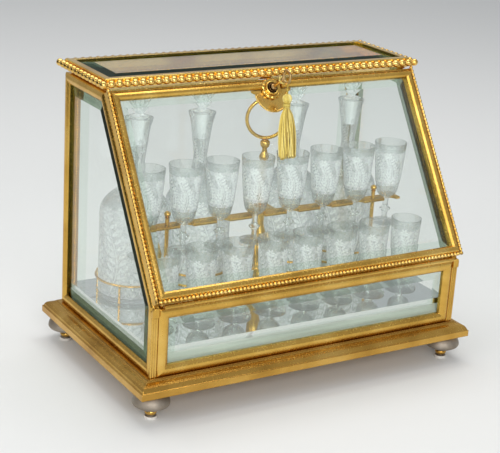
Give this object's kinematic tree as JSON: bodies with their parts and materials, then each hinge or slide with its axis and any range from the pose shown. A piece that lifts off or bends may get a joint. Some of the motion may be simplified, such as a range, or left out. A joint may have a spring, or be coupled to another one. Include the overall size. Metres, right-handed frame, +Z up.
{
  "type": "tantalus",
  "caption": "Glazed gilt-brass tantalus case with a sloping fall-front door, hinged lid, lock and tasselled key, holding a stand of decanters and stemmed glasses.",
  "frame": {"origin": "on the floor, under the middle of the plinth", "axes": "+X along the front to the viewer's right, +Y to the back, +Z up"},
  "size_m": [0.42, 0.257, 0.3359],
  "materials": {
    "gilt_brass": "gilt, polished",
    "gilt_wood": "wood faced with gilt brass sheet",
    "worn_brass": "worn, silvery brown",
    "plate_glass": "clear, bevelled",
    "cut_crystal": "clear, wheel-etched",
    "mirror": "silvered",
    "dark_wood": "dark, waxed",
    "lock_steel": "plain",
    "silk": "twisted silk"
  },
  "bodies": {
    "case": {"back_frame": "gilt_brass", "back_glass": "plate_glass", "back_glass_bead": "gilt_brass", "centre_column": "gilt_brass", "decanter_1": "cut_crystal", "decanter_2": "cut_crystal", "decanter_3": "cut_crystal", "decanter_4": "cut_crystal", "decanter_gallery": "gilt_brass", "door_hinge_pin": "gilt_brass", "foot_back_left": "worn_brass", "foot_back_right": "worn_brass", "foot_front_left": "worn_brass", "foot_front_right": "worn_brass", "glass_rail": "gilt_brass", "hinge_rail": "gilt_brass", "lid_hinge_pin": "gilt_brass", "low_front_frame": "gilt_brass", "low_front_glass": "plate_glass", "low_glass_1": "cut_crystal", "low_glass_2": "cut_crystal", "low_glass_3": "cut_crystal", "low_glass_4": "cut_crystal", "low_glass_5": "cut_crystal", "low_glass_6": "cut_crystal", "low_glass_7": "cut_crystal", "low_glass_8": "cut_crystal", "mirror_floor": "mirror", "plinth": "gilt_wood", "ring_handle": "gilt_brass", "side_frame_left": "gilt_brass", "side_frame_right": "gilt_brass", "side_glass_left": "plate_glass", "side_glass_right": "plate_glass", "stopper_1": "cut_crystal", "stopper_2": "cut_crystal", "stopper_3": "cut_crystal", "stopper_4": "cut_crystal", "tall_glass_1": "cut_crystal", "tall_glass_2": "cut_crystal", "tall_glass_3": "cut_crystal", "tall_glass_4": "cut_crystal", "tall_glass_5": "cut_crystal", "tall_glass_6": "cut_crystal", "tall_glass_7": "cut_crystal", "tall_glass_8": "cut_crystal", "tray_board": "dark_wood"},
    "lid": {"lid_frame": "gilt_brass", "lid_glass": "plate_glass", "lid_beading": "gilt_brass"},
    "door": {"door_frame": "gilt_brass", "door_glass": "plate_glass", "door_beading": "gilt_brass", "escutcheon": "gilt_brass", "rosette": "gilt_brass", "lock_case": "gilt_brass", "tassel_loop": "silk"},
    "key": {"key": "lock_steel"},
    "bolt": {"lock_bolt": "lock_steel"},
    "tassel": {"tassel": "silk"}
  },
  "joints": [
    {"name": "lid_open", "type": "hinge", "parent": "case", "child": "lid", "pos_m": [0, 0.1136, 0.316], "axis": [-1, 0, 0], "range_deg": [0, 95]},
    {"name": "door_open", "type": "hinge", "parent": "case", "child": "door", "pos_m": [0, -0.11849, 0.12519], "axis": [1, 0, 0], "range_deg": [0, 120]},
    {"name": "key_turn", "type": "hinge", "parent": "door", "child": "key", "pos_m": [0, -0.00231, 0.30906], "axis": [0, -0.8321, 0.5546], "range_deg": [0, 90]},
    {"name": "bolt_throw", "type": "slide", "parent": "door", "child": "bolt", "axis": [0, 0.5546, 0.8321], "range_m": [0, 0.005]},
    {"name": "tassel_swing", "type": "hinge", "parent": "door", "child": "tassel", "pos_m": [0, -0.02328, 0.32087], "axis": [-1, 0, 0], "range_deg": [0, 110]}
  ],
  "couplings": [
    {"joint": "key_turn", "follows": "bolt_throw", "rad_per_m": 314.15}
  ]
}
